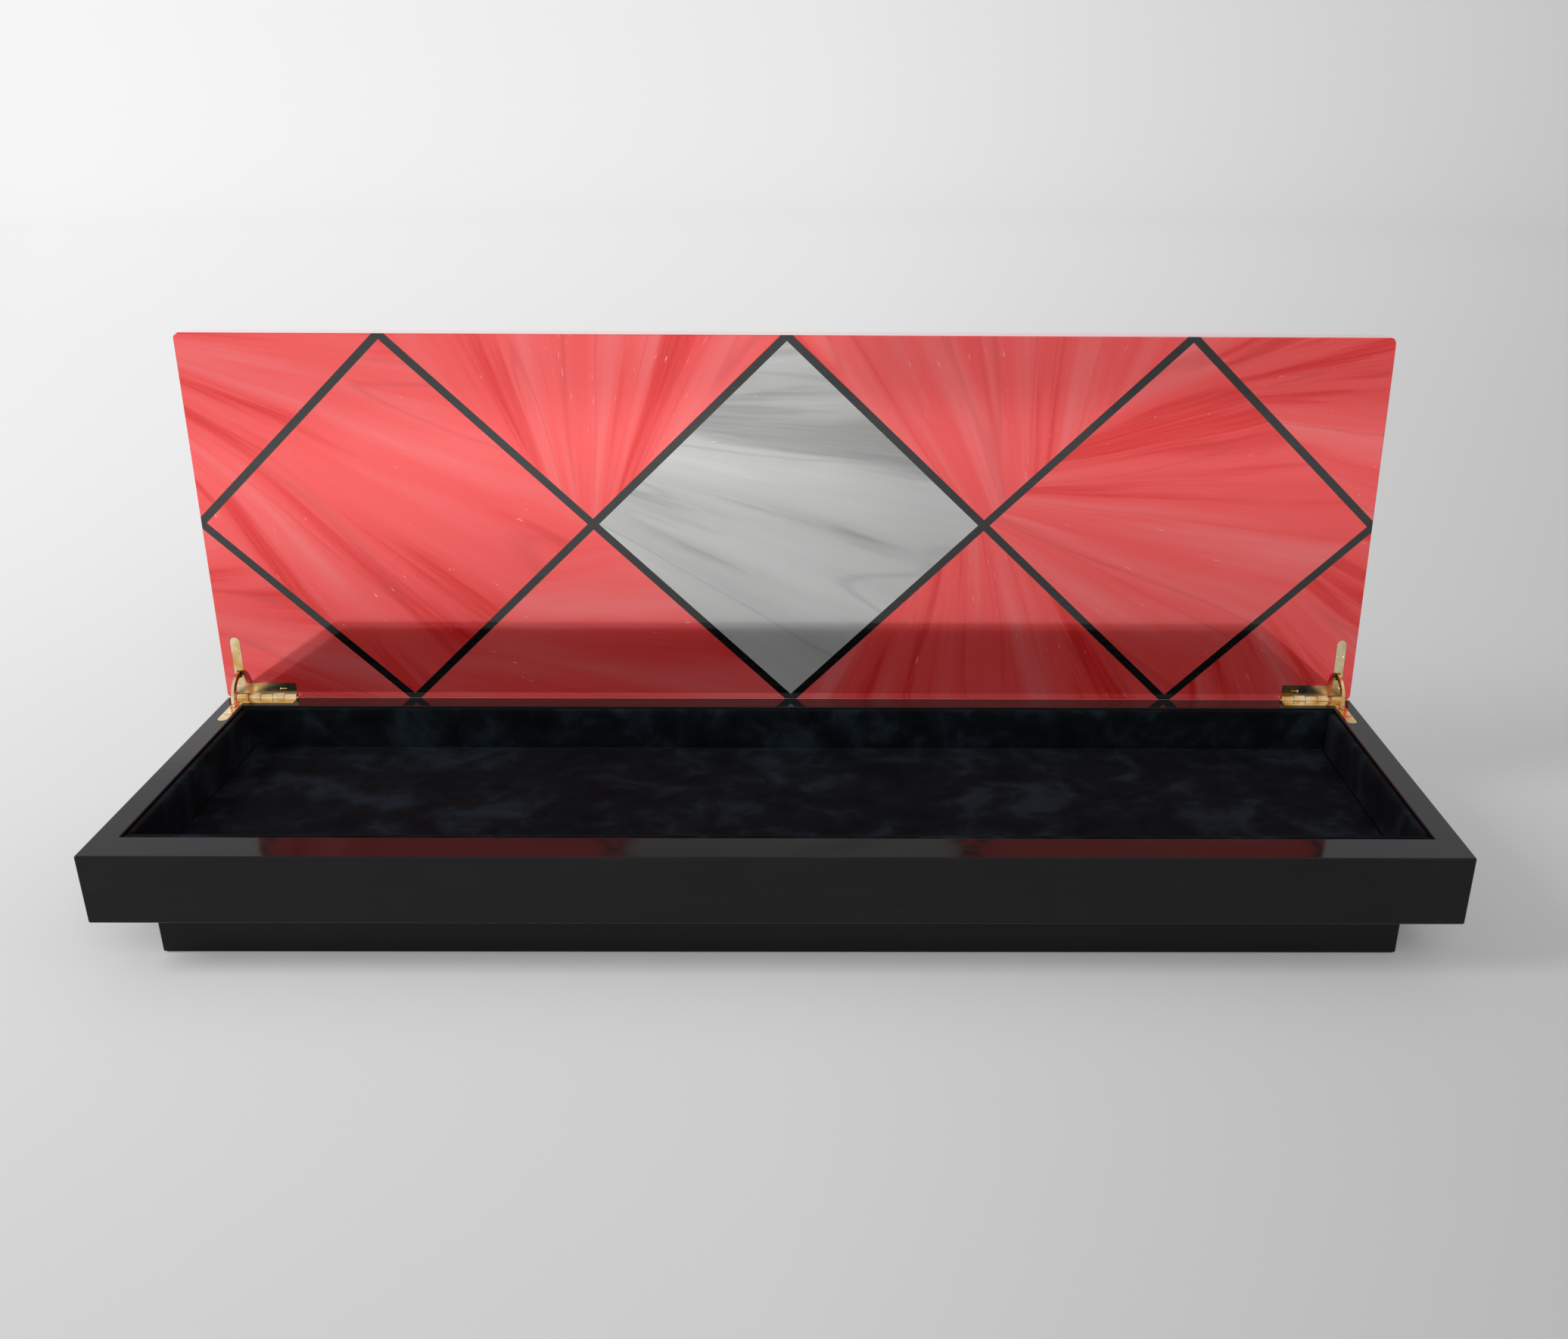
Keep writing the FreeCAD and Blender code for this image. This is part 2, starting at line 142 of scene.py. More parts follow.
def makeBlackLacquer(look):
    material, tree, shader, place = startMaterial("blackPolyesterLacquer", look["shader"])
    longMm, thinMm = look["rubMm"]
    drawn = addNode(tree, "VectorMath", {"operation": "MULTIPLY"},
                    {0: place, 1: (perMetre(longMm), perMetre(thinMm), perMetre(thinMm))})
    rubs = addNode(tree, "TexNoise", {}, {"Vector": drawn.outputs[0], "Scale": 1.0, "Detail": 3.0})
    hands = addNode(tree, "TexNoise", {}, {"Vector": place, "Scale": perMetre(look["handMm"]), "Detail": 2.0})
    marks = addNode(tree, "Math", {"operation": "MULTIPLY"}, {0: rubs.outputs[0], 1: hands.outputs[0]})
    gloss = addNode(tree, "MapRange", {},
                    {"Value": marks.outputs[0], "From Min": look["marks"][0], "From Max": look["marks"][1],
                     "To Min": look["gloss"][0], "To Max": look["gloss"][1]})
    tint = addNode(tree, "ValToRGB", {"stops": (look["toneStops"], (look["black"], look["worn"]))},
                   {"Fac": marks.outputs[0]})
    peel = addNode(tree, "TexNoise", {}, {"Vector": place, "Scale": perMetre(look["peelMm"]), "Detail": 1.0})
    skin = addNode(tree, "Bump", {}, {"Height": peel.outputs[0], "Strength": look["peelStrength"],
                                      "Distance": look["peelDepthMm"] / 1000})
    tree.links.new(tint.outputs[0], shader.inputs["Base Color"])
    tree.links.new(gloss.outputs[0], shader.inputs["Roughness"])
    tree.links.new(skin.outputs[0], shader.inputs["Normal"])
    return material


blackLacquer = makeBlackLacquer(blackLacquerLook)
dress(blackLacquer, "front_rail", "back_rail", "left_rail", "right_rail",
      "plinth_front_rail", "plinth_back_rail", "plinth_left_rail", "plinth_right_rail")
print("black lacquer on the case and plinth")


# fibreboard, pressed and sanded: short pale fibres in a brown mat; sprayed matt black where it could show
fibreboardLook = {"dark": "#5f4630", "mat": "#8a6a48", "fibre": "#b3946c"}
sprayedBoardLook = {"dark": "#0e0e0f", "mat": "#151516", "fibre": "#1e1e1f"}
fibreLay = {"fibreMm": (4.0, 0.5), "toneStops": (0.3, 0.5, 0.75), "fuzzDepthMm": 0.1, "fuzzStrength": 0.3,
            "shader": {"Roughness": 0.8, "Specular IOR Level": 0.3}}


def makeFibreboard(name, look, lay):
    material, tree, shader, place = startMaterial(name, lay["shader"])
    longMm, thinMm = lay["fibreMm"]
    drawn = addNode(tree, "VectorMath", {"operation": "MULTIPLY"},
                    {0: place, 1: (perMetre(longMm), perMetre(thinMm), perMetre(thinMm))})
    fibres = addNode(tree, "TexNoise", {}, {"Vector": drawn.outputs[0], "Scale": 1.0, "Detail": 4.0})
    boardTones = (look["dark"], look["mat"], look["fibre"])
    tone = addNode(tree, "ValToRGB", {"stops": (lay["toneStops"], boardTones)},
                   {"Fac": fibres.outputs[0]})
    fuzz = addNode(tree, "Bump", {}, {"Height": fibres.outputs[0], "Strength": lay["fuzzStrength"],
                                      "Distance": lay["fuzzDepthMm"] / 1000})
    tree.links.new(tone.outputs[0], shader.inputs["Base Color"])
    tree.links.new(fuzz.outputs[0], shader.inputs["Normal"])
    return material


dress(makeFibreboard("sandedFibreboard", fibreboardLook, fibreLay), "lid_core")
dress(makeFibreboard("blackSprayedFibreboard", sprayedBoardLook, fibreLay),
      "base_board", "bottom_cover", "floor_board", "plinth_corner_blocks")
print("fibreboard done")


# dyed sycamore veneer under polished clear lacquer: each leaf's grain opens like a fan from a point of its
# own, with broad drifts of tone, deep streaks where the dye sank in, thin figure lines and pale pores.
# Much of its shine is tinted by the dye, so that the dark tray mirrors in the lid as a deeper red
redDye = {"pale": "#f66d6d", "middle": "#f74e4e", "full": "#f33e3e", "streak": "#e20e0e",
          "line": "#c63131", "pore": "#fdc6c2"}
greyDye = {"pale": "#c9c9c8", "middle": "#bbbbba", "full": "#adadac", "streak": "#8f8f8e",
           "line": "#8d8d8d", "pore": "#e0e0e0"}
veneerLook = {
    "fanRadius": 0.12,      # m from the fan's point at which the sizes across the grain hold
    "sway": 0.05, "swayMm": 90,     # how far, in radians, a grain line wanders, and over what length
    "driftMm": (17, 260), "streakMm": (16, 300), "figureMm": (26, 420), "figureLines": 5,   # across, along
    "fibreMm": (1.0, 60), "poreMm": (1.0, 9), "porePatchMm": 80, "porePatchShare": 0.18,
    "toneStops": (0.32, 0.5, 0.68),
    # the noise from which each mark starts, at which it is full, and how much of its colour it then has
    "soaked": (0.55, 0.66, 0.95), "lined": (0.86, 1.0, 0.30), "combed": (0.35, 0.75, 0.22),
    "pored": (0.80, 0.87, 0.70),
    "seedStep": 3.7,
    "shader": {"Metallic": 0.68, "Roughness": 0.08, "Specular IOR Level": 0.3, "Coat Weight": 1.0,
               "Coat Roughness": 0.03, "Coat IOR": 1.6},
}


def makeVeneer(name, dye, fanPoint, fanTurn, seed, look, mirrored=False):
    # fanPoint is (x, z) in m and fanTurn the leaf's direction from it in degrees, both on the open lid
    material, tree, shader, place = startMaterial(name, look["shader"])
    if mirrored:        # a matched pair: the right half repeats the left in a mirror
        place = addNode(tree, "VectorMath", {"operation": "ABSOLUTE"}, {0: place}).outputs[0]
    seen = addNode(tree, "Mapping", {"vector_type": "TEXTURE"},
                   {"Vector": place, "Location": (fanPoint[0], 0, fanPoint[1]),
                    "Rotation": (0, -math.radians(fanTurn), 0)})
    split = addNode(tree, "SeparateXYZ", {}, {0: seen.outputs[0]})
    level = addNode(tree, "CombineXYZ", {}, {"X": split.outputs["X"], "Z": split.outputs["Z"]})
    reach = addNode(tree, "VectorMath", {"operation": "LENGTH"}, {0: level.outputs[0]})
    bearing = addNode(tree, "Math", {"operation": "ARCTAN2"}, {0: split.outputs["Z"], 1: split.outputs["X"]})
    sway = addNode(tree, "TexNoise", {"noise_dimensions": "4D"},
                   {"Vector": place, "W": seed, "Scale": perMetre(look["swayMm"]), "Detail": 2.0})
    swayed = addNode(tree, "Math", {"operation": "MULTIPLY_ADD"},
                     {0: sway.outputs[0], 1: look["sway"], 2: bearing.outputs[0]})
    across = addNode(tree, "Math", {"operation": "MULTIPLY"}, {0: swayed.outputs[0], 1: look["fanRadius"]})
    grain = addNode(tree, "CombineXYZ", {},
                    {"X": across.outputs[0], "Y": reach.outputs["Value"], "Z": seed}).outputs[0]

    spread = {}
    for part in ("drift", "streak", "figure", "fibre", "pore"):
        acrossMm, alongMm = look[part + "Mm"]
        sized = addNode(tree, "VectorMath", {"operation": "MULTIPLY"},
                        {0: grain, 1: (perMetre(acrossMm), perMetre(alongMm), 1)})
        spread[part] = addNode(tree, "TexNoise", {}, {"Vector": sized.outputs[0], "Scale": 1.0,
                                                      "Detail": 1.0 if part == "figure" else 4.0}).outputs[0]
    dyeTones = (dye["pale"], dye["middle"], dye["full"])
    tone = addNode(tree, "ValToRGB", {"stops": (look["toneStops"], dyeTones)},
                   {"Fac": spread["drift"]})
    rings = addNode(tree, "Math", {"operation": "MULTIPLY"},
                    {0: spread["figure"], 1: 2 * look["figureLines"]})
    folded = addNode(tree, "Math", {"operation": "PINGPONG"}, {0: rings.outputs[0], 1: 1.0})
    patches = addNode(tree, "TexNoise", {"noise_dimensions": "4D"},
                      {"Vector": place, "W": seed, "Scale": perMetre(look["porePatchMm"]), "Detail": 1.0})
    sparse = addNode(tree, "Math", {"operation": "MULTIPLY_ADD"},
                     {0: patches.outputs[0], 1: look["porePatchShare"], 2: spread["pore"]})
    colour = tone.outputs[0]
    for mark, source, tint, ease in (("soaked", spread["streak"], "streak", "SMOOTHSTEP"),
                                     ("lined", folded.outputs[0], "line", "SMOOTHSTEP"),
                                     ("combed", spread["fibre"], "pale", "LINEAR"),
                                     ("pored", sparse.outputs[0], "pore", "SMOOTHSTEP")):
        begins, fills, share = look[mark]
        cover = addNode(tree, "MapRange", {"interpolation_type": ease},
                        {"Value": source, "From Min": begins, "From Max": fills, "To Max": share})
        colour = addNode(tree, "Mix", {"data_type": "RGBA"},
                         {0: cover.outputs[0], 6: colour, 7: dye[tint]}).outputs[2]
    tree.links.new(colour, shader.inputs["Base Color"])
    return material


# each leaf of the lid: dye, the point (m) its grain fans from, and the way (degrees) the leaf lies from it
lidLeaves = {
    "upper_panel_1": (redDye, (-0.36, 0.250), -15),
    "upper_panel_2": (redDye, (-0.105, 0.120), 90),
    "upper_panel_3": (redDye, (0.125, 0.110), 96),
    "upper_panel_4": (redDye, (0.170, 0.215), 8),
    "lower_panel_1": (redDye, (-0.40, 0.115), -8),
    "lower_panel_2": (redDye, (-0.32, 0.105), -4),
    "lower_panel_3": (redDye, (0.090, 0.200), -86),
    "lower_panel_4": (redDye, (0.190, 0.180), -48),
    "lozenge_panel_1": (redDye, (-0.345, 0.255), -34),
    "lozenge_panel_2": (greyDye, (-0.210, 0.215), -24),
    "lozenge_panel_3": (redDye, (0.070, 0.170), 4),
    "lid_left_lipping": (redDye, (-0.298, -0.9), 90),
    "lid_right_lipping": (redDye, (0.298, -0.9), 90),
    "lid_front_lipping": (redDye, (-1.5, 0.241), 0),
    "lid_back_lipping": (redDye, (-1.5, 0.060), 0),
}
outsideLeaf = {"fanPoint": (0.0, -0.35), "fanTurn": 82, "seed": 91.0}      # as for the leaves inside
for count, (leaf, (dye, fanPoint, fanTurn)) in enumerate(lidLeaves.items()):
    leafName = ("lacqueredSycamoreGrey_" if dye is greyDye else "lacqueredSycamoreRed_") + leaf
    dress(makeVeneer(leafName, dye, fanPoint, fanTurn, veneerLook["seedStep"] * count, veneerLook), leaf)
dress(makeVeneer("lacqueredSycamoreRed_outside", redDye, look=veneerLook, mirrored=True, **outsideLeaf),
      "outer_veneer")
print("veneers on the lid:", len(lidLeaves) + 1)


# black-dyed stringing, let in between the leaves and lacquered with them: soft black with a faint
# straight grain
stringingLook = {"dark": "#0f0f0f", "light": "#1e1e1e", "toneStops": (0.35, 0.65), "grainMm": (30, 0.8)}


def makeStringing(look):
    material, tree, shader, place = startMaterial("blackDyedStringing", veneerLook["shader"])
    longMm, thinMm = look["grainMm"]
    drawn = addNode(tree, "VectorMath", {"operation": "MULTIPLY"},
                    {0: place, 1: (perMetre(longMm), perMetre(thinMm), perMetre(thinMm))})
    grain = addNode(tree, "TexNoise", {}, {"Vector": drawn.outputs[0], "Scale": 1.0, "Detail": 3.0})
    tone = addNode(tree, "ValToRGB", {"stops": (look["toneStops"], (look["dark"], look["light"]))},
                   {"Fac": grain.outputs[0]})
    tree.links.new(tone.outputs[0], shader.inputs["Base Color"])
    return material


dress(makeStringing(stringingLook), "stringing")


# brass, stamped, turned and polished: warm yellow mirror with fine brushing and duller patches from handling
brassLook = {
    "bright": "#ffe9c0", "tarnish": "#e3b15c", "toneStops": (0.40, 0.68), "patchMm": 9,
    "patches": (0.3, 0.75), "gloss": (0.12, 0.26),
    "brushMm": (14, 0.35), "brushDepthMm": 0.05, "brushStrength": 0.15,
    "shader": {"Metallic": 1.0},
}


def makeBrass(look):
    material, tree, shader, place = startMaterial("polishedBrass", look["shader"])
    longMm, thinMm = look["brushMm"]
    drawn = addNode(tree, "VectorMath", {"operation": "MULTIPLY"},
                    {0: place, 1: (perMetre(thinMm), perMetre(thinMm), perMetre(longMm))})
    brushed = addNode(tree, "TexNoise", {}, {"Vector": drawn.outputs[0], "Scale": 1.0, "Detail": 2.0})
    patches = addNode(tree, "TexNoise", {},
                      {"Vector": place, "Scale": perMetre(look["patchMm"]), "Detail": 3.0})
    tone = addNode(tree, "ValToRGB", {"stops": (look["toneStops"], (look["bright"], look["tarnish"]))},
                   {"Fac": patches.outputs[0]})
    gloss = addNode(tree, "MapRange", {},
                    {"Value": patches.outputs[0],
                     "From Min": look["patches"][0], "From Max": look["patches"][1],
                     "To Min": look["gloss"][0], "To Max": look["gloss"][1]})
    lines = addNode(tree, "Bump", {}, {"Height": brushed.outputs[0], "Strength": look["brushStrength"],
                                       "Distance": look["brushDepthMm"] / 1000})
    tree.links.new(tone.outputs[0], shader.inputs["Base Color"])
    tree.links.new(gloss.outputs[0], shader.inputs["Roughness"])
    tree.links.new(lines.outputs[0], shader.inputs["Normal"])
    return material


dress(makeBrass(brassLook), "left_case_leaf", "left_lid_leaf", "left_hinge_pin", "left_stay_arm",
      "right_case_leaf", "right_lid_leaf", "right_hinge_pin", "right_stay_arm",
      "case_leaf_screws", "lid_leaf_screws")


# steel screws, zinc plated: grey with a cloudy sheen
screwLook = {"bright": "#b9bbbe", "cloud": "#8d9095", "toneStops": (0.4, 0.7), "cloudMm": 3,
             "shader": {"Metallic": 1.0, "Roughness": 0.35}}


def makeScrewSteel(look):
    material, tree, shader, place = startMaterial("zincPlatedSteel", look["shader"])
    clouds = addNode(tree, "TexNoise", {},
                     {"Vector": place, "Scale": perMetre(look["cloudMm"]), "Detail": 3.0})
    tone = addNode(tree, "ValToRGB", {"stops": (look["toneStops"], (look["bright"], look["cloud"]))},
                   {"Fac": clouds.outputs[0]})
    tree.links.new(tone.outputs[0], shader.inputs["Base Color"])
    return material


dress(makeScrewSteel(screwLook), "plinth_screws")
print("stringing, brass and steel done")


def loopSurface(name, rings, lastFace=True):
    # rings[i, j] is point j of closed loop i: quads join each loop to the next, one face closes each end
    count, points = rings.shape[:2]
    i, j = np.meshgrid(np.arange(count - 1), np.arange(points), indexing="ij")
    k = (j + 1) % points
    quads = np.stack([i * points + j, i * points + k, (i + 1) * points + k, (i + 1) * points + j], axis=-1)
    faces = quads.reshape(-1, 4).tolist() + [np.arange(points)[::-1].tolist()]
    if lastFace:
        faces.append(np.arange((count - 1) * points, count * points).tolist())
    mesh = bpy.data.meshes.new(name)
    mesh.from_pydata(rings.reshape(-1, 3).tolist(), [], faces)
    shell = bmesh.new()
    shell.from_mesh(mesh)
    bmesh.ops.recalc_face_normals(shell, faces=shell.faces[:])
    shell.to_mesh(mesh)
    shell.free()
    mesh.shade_smooth()
    piece = bpy.data.objects.new(name, mesh)
    scene.collection.objects.link(piece)
    return piece


slabShape = {
    "roundMost": 0.95,      # the most of half the thickness that an edge's rounding may take
    "arcSteps": 6, "sideSteps": 5,
    "ripples": ((31, 90, 0), (57, -140, 1.3), (13, 210, 2.1)),     # radians per m along and across, and start
}


def softSlab(name, node, lengthAxis, faceAxis, faceSign, look, shape):
    # the node's box as a soft slab. Section: a rounded rectangle, flat runs and quarter circles in turn.
    # It is carried along the length and drawn in by a quarter circle at both ends. The show face is then
    # lowered from its crown by the fourth power of the way to each edge, and by slow sine waves.
    low, high = (np.array(corner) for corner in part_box(node))
    crossAxis = 3 - lengthAxis - faceAxis
    centre, half = (low + high) / 2, (high - low) / 2
    wide, thick, long = half[crossAxis], half[faceAxis], half[lengthAxis]
    bend = min(look["round"], shape["roundMost"] * thick)
    run = np.linspace(-1, 1, look["acrossSteps"])
    turn = np.linspace(0, np.pi / 2, shape["arcSteps"])
    arc = turn[1:-1]
    side = np.linspace(-1, 1, shape["sideSteps"])
    sectionX = np.concatenate([
        (wide - bend) * run, wide - bend + bend * np.sin(arc), wide + 0 * side,
        wide - bend + bend * np.cos(arc), -(wide - bend) * run,
        -(wide - bend) - bend * np.sin(arc), -wide + 0 * side, -(wide - bend) - bend * np.cos(arc)])
    sectionY = np.concatenate([
        thick + 0 * run, thick - bend + bend * np.cos(arc), -(thick - bend) * side,
        -(thick - bend) - bend * np.sin(arc), -thick + 0 * run,
        -(thick - bend) - bend * np.cos(arc), (thick - bend) * side, thick - bend + bend * np.sin(arc)])
    ends = long - bend + bend * np.cos(turn[:-1])
    drawn = bend - bend * np.sin(turn[:-1])
    middle = np.linspace(-(long - bend), long - bend, look["alongSteps"])
    path = np.concatenate([-ends, middle, ends[::-1]])
    inset = np.concatenate([drawn, 0 * middle, drawn[::-1]])
    x = sectionX * (1 - inset[:, None] / wide)
    y = sectionY * (1 - inset[:, None] / thick)
    s = path[:, None] + 0 * x
    shown = np.clip(y / thick, 0, 1) ** 2
    fall = np.abs(x / wide) ** 4 + np.abs(s / long) ** 4
    wave = sum(np.sin(along * s + across * x + begin) for along, across, begin in shape["ripples"])
    most = len(shape["ripples"])
    y = y - shown * (look["crown"] * np.minimum(fall, 1) + look["wave"] * (most + wave) / (2 * most))
    rings = np.zeros(x.shape + (3,))
    rings[..., crossAxis] = centre[crossAxis] + x
    rings[..., faceAxis] = centre[faceAxis] + faceSign * y
    rings[..., lengthAxis] = centre[lengthAxis] + s
    piece = loopSurface(name, rings)
    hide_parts(node)
    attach(piece, "case")
    return piece


# microfibre suede, brushed and glued over foam and card: nearly black blue, the nap lying in cloudy patches
# that catch the light differently, a soft bloom at glancing angles and a few specks of lint
suedeLook = {
    "dark": "#030406", "middle": "#070a0d", "brushed": "#131a20", "toneStops": (0.62, 0.8, 1.0),
    "patchMm": 26, "patchTwist": 0.6, "strokeMm": 7, "strokeShare": 0.35, "napMm": 0.6, "napShare": 0.25,
    "lint": "#8f979f", "lintMm": 42, "lintSizeMm": 0.45, "lintBare": 0.7,    # bare: share of spots with none
    "pileDepthMm": 0.4, "pileStrength": 0.6,
    "shader": {"Roughness": 0.95, "Specular IOR Level": 0.06, "Sheen Weight": 0.02,
               "Sheen Roughness": 0.4, "Sheen Tint": "#9aa6b8"},
}
# edge rounding, crown and waves in m
floorPadLook = {"round": 0.0015, "crown": 0.0006, "wave": 0.0003, "acrossSteps": 60, "alongSteps": 200}
linerLook = {"round": 0.0018, "crown": 0.0008, "wave": 0.0004, "acrossSteps": 20, "alongSteps": 160}


def makeSuede(look):
    material, tree, shader, place = startMaterial("brushedMicrofibreSuede", look["shader"])
    patches = addNode(tree, "TexNoise", {},
                      {"Vector": place, "Scale": perMetre(look["patchMm"]), "Detail": 3.0,
                       "Distortion": look["patchTwist"]})
    strokes = addNode(tree, "TexNoise", {},
                      {"Vector": place, "Scale": perMetre(look["strokeMm"]), "Detail": 4.0})
    nap = addNode(tree, "TexNoise", {}, {"Vector": place, "Scale": perMetre(look["napMm"]), "Detail": 2.0})
    clouds = addNode(tree, "Math", {"operation": "MULTIPLY_ADD"},
                     {0: strokes.outputs[0], 1: look["strokeShare"], 2: patches.outputs[0]})
    lay = addNode(tree, "Math", {"operation": "MULTIPLY_ADD"},
                  {0: nap.outputs[0], 1: look["napShare"], 2: clouds.outputs[0]})
    napTones = (look["dark"], look["middle"], look["brushed"])
    tone = addNode(tree, "ValToRGB", {"stops": (look["toneStops"], napTones)}, {"Fac": lay.outputs[0]})
    grains = addNode(tree, "TexVoronoi", {}, {"Vector": place, "Scale": perMetre(look["lintMm"])})
    pick = addNode(tree, "SeparateColor", {}, {0: grains.outputs["Color"]})
    chosen = addNode(tree, "Math", {"operation": "GREATER_THAN"}, {0: pick.outputs[0], 1: look["lintBare"]})
    near = addNode(tree, "Math", {"operation": "LESS_THAN"},
                   {0: grains.outputs["Distance"], 1: look["lintSizeMm"] / look["lintMm"]})
    specks = addNode(tree, "Math", {"operation": "MULTIPLY"}, {0: chosen.outputs[0], 1: near.outputs[0]})
    linted = addNode(tree, "Mix", {"data_type": "RGBA"},
                     {0: specks.outputs[0], 6: tone.outputs[0], 7: look["lint"]})
    pile = addNode(tree, "Bump", {}, {"Height": lay.outputs[0], "Strength": look["pileStrength"],
                                      "Distance": look["pileDepthMm"] / 1000})
    tree.links.new(linted.outputs[2], shader.inputs["Base Color"])
    tree.links.new(pile.outputs[0], shader.inputs["Normal"])
    return material


suede = makeSuede(suedeLook)
lining = [
    softSlab("suedeFloor", "floor_pad", 0, 2, 1, floorPadLook, slabShape),
    softSlab("suedeFront", "front_liner", 0, 1, 1, linerLook, slabShape),
    softSlab("suedeBack", "back_liner", 0, 1, -1, linerLook, slabShape),
    softSlab("suedeLeft", "left_liner", 1, 0, 1, linerLook, slabShape),
    softSlab("suedeRight", "right_liner", 1, 0, -1, linerLook, slabShape),
]
for piece in lining:
    piece.data.materials.append(suede)
print("suede lining:", len(lining), "pieces")


# wool felt, pressed and glued under the plinth: matted black fibres
feltLook = {
    "dark": "#121213", "light": "#242426", "toneStops": (0.55, 0.95),
    "tuftMm": 2.2, "fibreMm": 0.5, "fibreShare": 0.5, "fuzzDepthMm": 0.3, "fuzzStrength": 0.6,
    "shader": {"Roughness": 1.0, "Specular IOR Level": 0.1, "Sheen Weight": 0.15, "Sheen Roughness": 0.5},
}
feltSheetLook = {"round": 0.0004, "crown": 0.0, "wave": 0.0, "acrossSteps": 40, "alongSteps": 120}


def makeFelt(look):
    material, tree, shader, place = startMaterial("pressedWoolFelt", look["shader"])
    tufts = addNode(tree, "TexNoise", {}, {"Vector": place, "Scale": perMetre(look["tuftMm"]), "Detail": 3.0})
    fibres = addNode(tree, "TexNoise", {},
                     {"Vector": place, "Scale": perMetre(look["fibreMm"]), "Detail": 2.0})
    mat = addNode(tree, "Math", {"operation": "MULTIPLY_ADD"},
                  {0: fibres.outputs[0], 1: look["fibreShare"], 2: tufts.outputs[0]})
    tone = addNode(tree, "ValToRGB", {"stops": (look["toneStops"], (look["dark"], look["light"]))},
                   {"Fac": mat.outputs[0]})
    fuzz = addNode(tree, "Bump", {}, {"Height": mat.outputs[0], "Strength": look["fuzzStrength"],
                                      "Distance": look["fuzzDepthMm"] / 1000})
    tree.links.new(tone.outputs[0], shader.inputs["Base Color"])
    tree.links.new(fuzz.outputs[0], shader.inputs["Normal"])
    return material


felt = softSlab("feltSheet", "base_felt", 0, 2, -1, feltSheetLook, slabShape)
felt.data.materials.append(makeFelt(feltLook))
print("felt under the plinth")


# studio: a pale paper bowl whose colour is painted lighter to the left and darker to the right as painted
# shade, with a painted glow on the far paper; a soft key from the left, a front fill and a low right fill
studio = {
    "innerRadius": 0.02, "flatRadius": 4.0, "coveRadius": 1.0, "wallHeight": 2.0,   # m
    "flatSteps": 20, "coveSteps": 24, "spinSteps": 128,
    "toneStops": (0.0, 0.5, 1.0),      # from the left to the right
    # painted shade: the paper's colour darkens from the left to the right in place of light that falls off
    # that way
    "paperAndPaintedShade": ("#b8b8b8", "#b4b4b4", "#a2a2a2"),
    "glow": ("#ffffff", "#e9e9e9", "#c0c0c0"),      # how the far paper is lit up
    # the tones fan from a point fanBack m in front of the box, hold still nearer to it than fanNear m, and
    # run their course within fanShare of the distance to either side
    "fanBack": 1.1, "fanNear": 0.3, "fanShare": 0.42,
    "liftFrom": -0.35, "liftLength": 1.5, "lift": 0.70,    # m along Y the glow rises away from, and how much
    "air": "#ffffff", "airStrength": 0.62,
}
lampAim = 0.06      # m above the floor
lamps = {   # place (m), width (m), watts, and whether polished faces mirror it; each looks at the box
    "leftKey": ((-1.8, -0.5, 1.35), 0.8, 28.0, True),
    "frontFill": ((0.3, -1.9, 1.5), 1.4, 30.0, False),     # else the back rim shows it by way of the lid
    "rightFill": ((1.7, -0.5, 0.5), 0.8, 5.0, True),
}


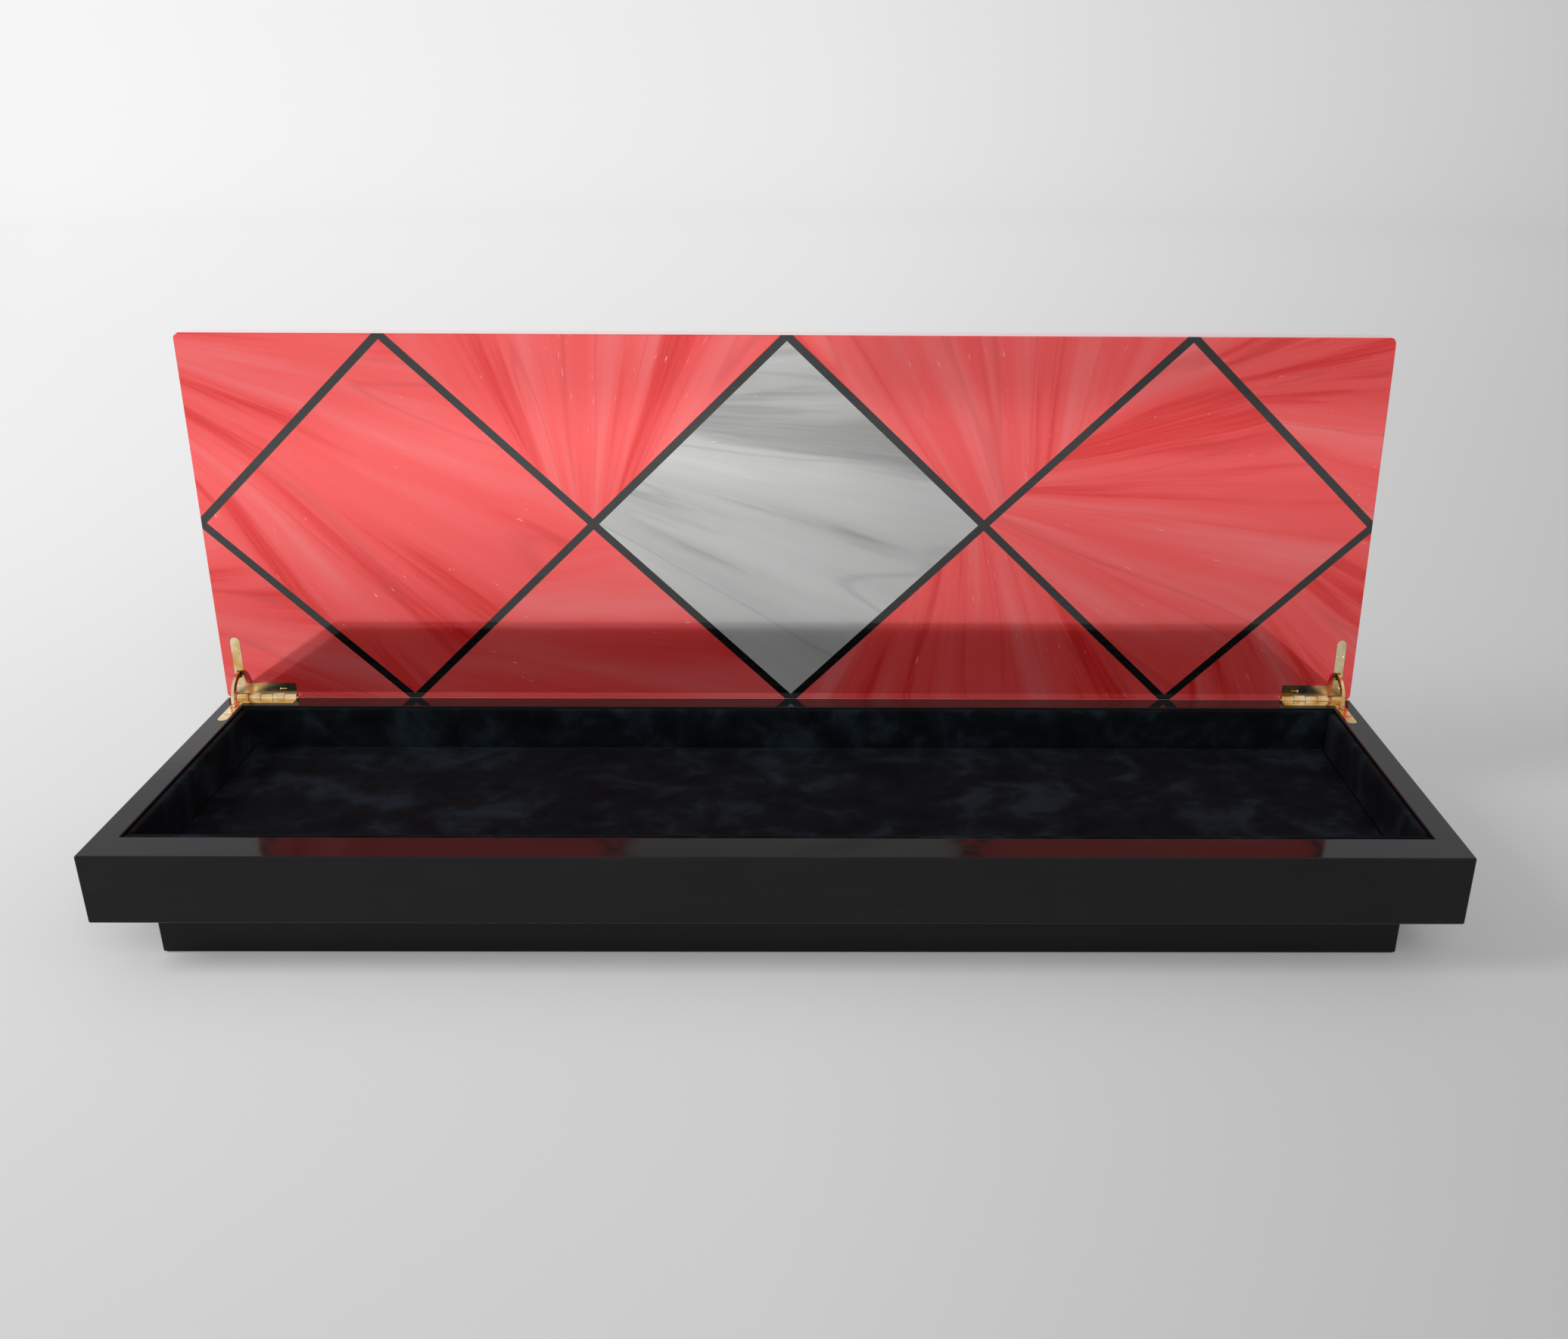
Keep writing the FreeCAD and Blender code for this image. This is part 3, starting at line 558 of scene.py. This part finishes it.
def makeStudio(values):
    # profile of (distance out, height): flat floor, quarter-circle cove, upright wall; spun round the middle
    bend = np.linspace(0, np.pi / 2, values["coveSteps"])[1:]
    flat, cove = values["flatRadius"], values["coveRadius"]
    level = np.geomspace(values["innerRadius"], flat, values["flatSteps"])
    out = np.concatenate([level, flat + cove * np.sin(bend), [flat + cove]])
    up = np.concatenate([0 * level, cove - cove * np.cos(bend), [values["wallHeight"]]])
    spin = np.linspace(0, 2 * np.pi, values["spinSteps"], endpoint=False)
    rings = np.stack([out[:, None] * np.cos(spin), out[:, None] * np.sin(spin), up[:, None] + 0 * spin],
                     axis=-1)
    bowl = loopSurface("paperBowl", rings, lastFace=False)
    material, tree, shader, place = startMaterial("mattPaper", {"Roughness": 1.0, "Specular IOR Level": 0.0})
    split = addNode(tree, "SeparateXYZ", {}, {0: place})
    away = addNode(tree, "Math", {"operation": "ADD"}, {0: split.outputs["Y"], 1: values["fanBack"]})
    ahead = addNode(tree, "Math", {"operation": "MAXIMUM"}, {0: away.outputs[0], 1: values["fanNear"]})
    slope = addNode(tree, "Math", {"operation": "DIVIDE"}, {0: split.outputs["X"], 1: ahead.outputs[0]})
    side = addNode(tree, "MapRange", {}, {"Value": slope.outputs[0], "From Min": -values["fanShare"],
                                          "From Max": values["fanShare"]})
    # painted shade in the paper's colour: lighter to the left, darker to the right
    tone = addNode(tree, "ValToRGB", {"stops": (values["toneStops"], values["paperAndPaintedShade"])},
                   {"Fac": side.outputs[0]})
    glow = addNode(tree, "ValToRGB", {"stops": (values["toneStops"], values["glow"])},
                   {"Fac": side.outputs[0]})
    # the glow is lift times one less e to the power of minus the distance along Y over liftLength; only the
    # camera, mirrors and glass see it, so it throws no light on the box
    steps = addNode(tree, "MapRange", {"clamp": False},
                    {"Value": split.outputs["Y"], "From Min": values["liftFrom"],
                     "From Max": values["liftFrom"] + values["liftLength"]})
    apart = addNode(tree, "Math", {"operation": "ABSOLUTE"}, {0: steps.outputs[0]})
    faded = addNode(tree, "Math", {"operation": "POWER"}, {0: math.exp(-1), 1: apart.outputs[0]})
    share = addNode(tree, "Math", {"operation": "MULTIPLY_ADD"},
                    {0: faded.outputs[0], 1: -values["lift"], 2: values["lift"]})
    ray = addNode(tree, "LightPath", {}, {})
    seen = addNode(tree, "Math", {"operation": "MAXIMUM"},
                   {0: ray.outputs["Is Camera Ray"], 1: ray.outputs["Is Glossy Ray"]})
    shown = addNode(tree, "Math", {"operation": "MAXIMUM"},
                    {0: seen.outputs[0], 1: ray.outputs["Is Transmission Ray"]})
    lift = addNode(tree, "Math", {"operation": "MULTIPLY"}, {0: share.outputs[0], 1: shown.outputs[0]})
    tree.links.new(tone.outputs[0], shader.inputs["Base Color"])
    tree.links.new(glow.outputs[0], shader.inputs["Emission Color"])
    tree.links.new(lift.outputs[0], shader.inputs["Emission Strength"])
    bowl.data.materials.append(material)
    air = bpy.data.worlds.new("studioAir")
    air.use_nodes = True
    sky = air.node_tree.nodes["Background"]
    sky.inputs["Color"].default_value = linear(values["air"])
    sky.inputs["Strength"].default_value = values["airStrength"]
    scene.world = air


def hangLamps(values, aim):
    for name, (place, width, watts, mirrored) in values.items():
        data = bpy.data.lights.new(name, "AREA")
        data.shape, data.size, data.energy = "SQUARE", width, watts
        lamp = bpy.data.objects.new(name, data)
        lamp.visible_glossy = mirrored
        scene.collection.objects.link(lamp)
        towards = -Matrix.Translation(place).translation
        towards.z += aim
        lamp.matrix_world = Matrix.Translation(place) @ towards.to_track_quat("-Z", "Y").to_matrix().to_4x4()


makeStudio(studio)
hangLamps(lamps, lampAim)
print("studio and lamps set")
